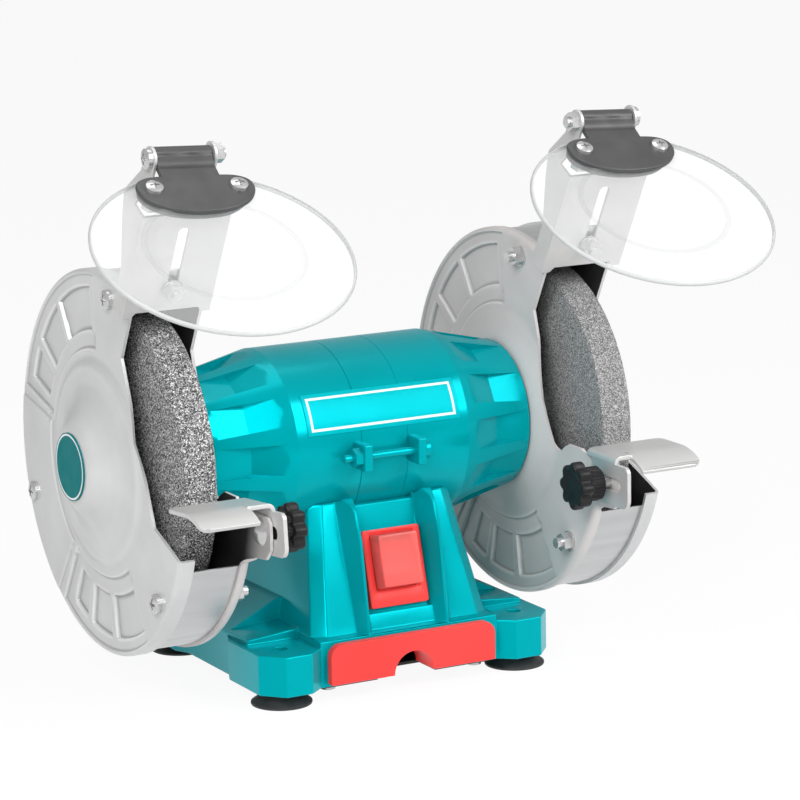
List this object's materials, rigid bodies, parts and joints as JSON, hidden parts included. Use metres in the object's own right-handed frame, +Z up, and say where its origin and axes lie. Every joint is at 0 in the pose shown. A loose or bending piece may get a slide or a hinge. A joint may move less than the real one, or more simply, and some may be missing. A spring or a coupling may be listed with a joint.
{
  "type": "bench grinder",
  "caption": "Bench grinder with guarded abrasive wheels on a through-shaft motor, flip-up clear eye shields, sliding tool rests with lobed knobs and a rubber-footed pedestal base.",
  "frame": {"origin": "on the bench, in the plane of the foot soles, straight below the middle of the wheel shaft", "axes": "+X along the shaft to the operator's right, +Y to the back, +Z up"},
  "size_m": [0.3404, 0.2525, 0.2672],
  "materials": {
    "teal_paint": "gloss",
    "red_plastic": "satin",
    "red_boot": "clear",
    "guard_grey": "satin",
    "black_steel": "satin",
    "zinc": "bright zinc",
    "bright_steel": "machined",
    "black_plastic": "moulded",
    "black_rubber": "moulded",
    "clear_shield": "clear",
    "coarse_abrasive": "coarse grit",
    "fine_abrasive": "fine grit",
    "copper": "enamelled",
    "core_steel": "laminated",
    "rotor_alloy": "cast",
    "label_film": "printed",
    "badge_film": "printed",
    "cage_brass": "pressed",
    "cap_plastic": "moulded"
  },
  "bodies": {
    "frame": {"base": "teal_paint", "bottom_cover": "black_steel", "bottom_cover_screws": "zinc", "front_panel": "red_plastic", "feet": "black_rubber", "left_end_housing": "teal_paint", "right_end_housing": "teal_paint", "stator_core": "teal_paint", "stator_windings": "copper", "tie_screws": "teal_paint", "motor_foot_screws": "zinc", "bearing_outer_races": "bright_steel", "run_capacitor": "cap_plastic", "capacitor_strap": "zinc", "terminal_block": "cap_plastic", "switch_frame": "red_plastic", "switch_boot": "red_boot", "cable_gland": "black_plastic", "front_label": "label_film", "hub_badges": "badge_film", "guard_screws": "zinc", "guard_spacers": "zinc", "guard_nuts": "zinc", "guard_mount_screws": "zinc", "deflector_bolts": "zinc", "rest_bolts": "zinc", "left_guard_plate": "guard_grey", "left_guard_band": "guard_grey", "left_guard_cover": "guard_grey", "right_guard_plate": "guard_grey", "right_guard_band": "guard_grey", "right_guard_cover": "guard_grey"},
    "rotor": {"shaft": "bright_steel", "rotor_core": "core_steel", "rotor_rings": "rotor_alloy", "bearing_inner_races": "bright_steel", "left_wheel": "coarse_abrasive", "right_wheel": "fine_abrasive", "inner_flanges": "bright_steel", "outer_flanges": "bright_steel", "wheel_nuts": "bright_steel"},
    "ball_sets": {"bearing_balls": "bright_steel", "bearing_cages": "cage_brass"},
    "left_deflector": {"left_spark_deflector": "zinc", "left_pivot_bolt": "zinc"},
    "left_shield": {"left_shield_clamp": "black_plastic", "left_eye_shield": "clear_shield", "left_shield_screws": "zinc"},
    "left_rest": {"left_tool_rest": "zinc"},
    "left_knob": {"left_knob": "black_plastic"},
    "right_deflector": {"right_spark_deflector": "zinc", "right_pivot_bolt": "zinc"},
    "right_shield": {"right_shield_clamp": "black_plastic", "right_eye_shield": "clear_shield", "right_shield_screws": "zinc"},
    "right_rest": {"right_tool_rest": "zinc"},
    "right_knob": {"right_knob": "black_plastic"},
    "rocker": {"switch_rocker": "red_plastic"}
  },
  "joints": [
    {"name": "rotor_spin", "type": "hinge", "parent": "frame", "child": "rotor", "pos_m": [0, 0, 0.112], "axis": [1, 0, 0], "continuous": true},
    {"name": "ball_sets_spin", "type": "hinge", "parent": "frame", "child": "ball_sets", "pos_m": [0, 0, 0.112], "axis": [1, 0, 0], "continuous": true},
    {"name": "left_deflector_slide", "type": "slide", "parent": "frame", "child": "left_deflector", "axis": [0, -0.4772, 0.8788], "range_m": [-0.007, 0]},
    {"name": "left_shield_hinge", "type": "hinge", "parent": "left_deflector", "child": "left_shield", "pos_m": [-0.1102, -0.06448, 0.26156], "axis": [-1, 0, 0], "range_deg": [-15, 80]},
    {"name": "left_rest_slide", "type": "slide", "parent": "frame", "child": "left_rest", "axis": [0, 0.9962, -0.0872], "range_m": [-0.007, 0.0035]},
    {"name": "left_knob_turn", "type": "hinge", "parent": "frame", "child": "left_knob", "pos_m": [-0.08, -0.098, 0.0947], "axis": [1, 0, 0], "continuous": true},
    {"name": "right_deflector_slide", "type": "slide", "parent": "frame", "child": "right_deflector", "axis": [0, -0.4772, 0.8788], "range_m": [-0.007, 0]},
    {"name": "right_shield_hinge", "type": "hinge", "parent": "right_deflector", "child": "right_shield", "pos_m": [0.1102, -0.06448, 0.26156], "axis": [-1, 0, 0], "range_deg": [-15, 80]},
    {"name": "right_rest_slide", "type": "slide", "parent": "frame", "child": "right_rest", "axis": [0, 1, 0], "range_m": [-0.007, 0.0055]},
    {"name": "right_knob_turn", "type": "hinge", "parent": "frame", "child": "right_knob", "pos_m": [0.08, -0.098, 0.0947], "axis": [1, 0, 0], "continuous": true},
    {"name": "rocker_tilt", "type": "hinge", "parent": "frame", "child": "rocker", "pos_m": [0, -0.04528, 0.05429], "axis": [1, 0, 0], "range_deg": [0, 16]}
  ],
  "couplings": [
    {"joint": "ball_sets_spin", "follows": "rotor_spin", "ratio": 0.404}
  ]
}
